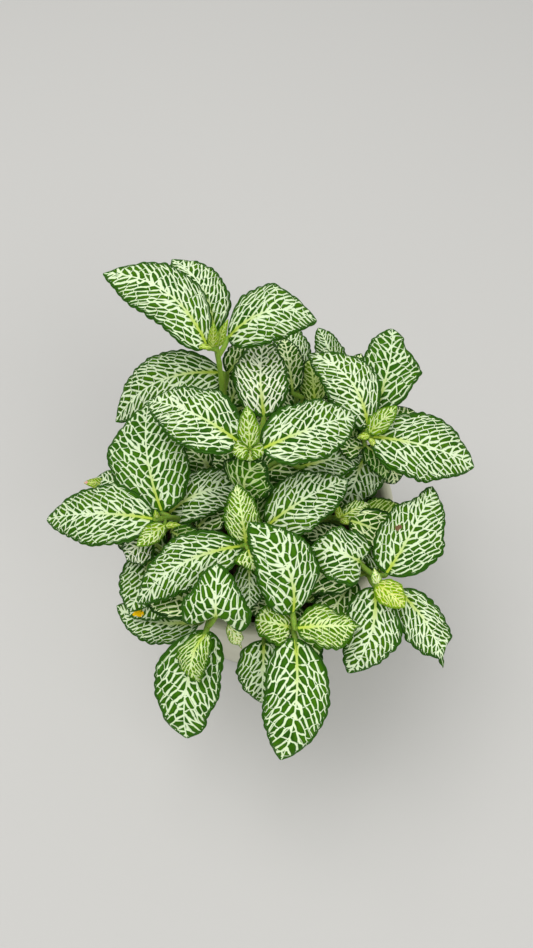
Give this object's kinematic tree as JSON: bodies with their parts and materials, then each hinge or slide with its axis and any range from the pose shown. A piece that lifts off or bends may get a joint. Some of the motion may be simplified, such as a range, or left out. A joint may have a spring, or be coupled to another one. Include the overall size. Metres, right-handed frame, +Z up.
{
  "type": "potted nerve plant",
  "caption": "Bushy white-veined nerve plant: leafy stems rising from soil in a round off-white ceramic pot.",
  "frame": {"origin": "centre of the pot's flat base", "axes": "+Z up, -Y towards the front of the plant, +X to its right"},
  "size_m": [0.1409, 0.1561, 0.1487],
  "materials": {
    "pot_ceramic": "satin",
    "soil": "matte",
    "foliage": "satin"
  },
  "bodies": {
    "root": {"pot": "pot_ceramic", "soil": "soil", "shoot_centre": "foliage", "shoot_back_left": "foliage", "shoot_right": "foliage", "shoot_front": "foliage", "shoot_front_left": "foliage", "shoot_front_right": "foliage", "shoot_left": "foliage", "shoot_middle": "foliage", "shoot_inner_right": "foliage", "shoot_low_left": "foliage", "shoot_back": "foliage", "shoot_back_right": "foliage"}
  },
  "joints": []
}
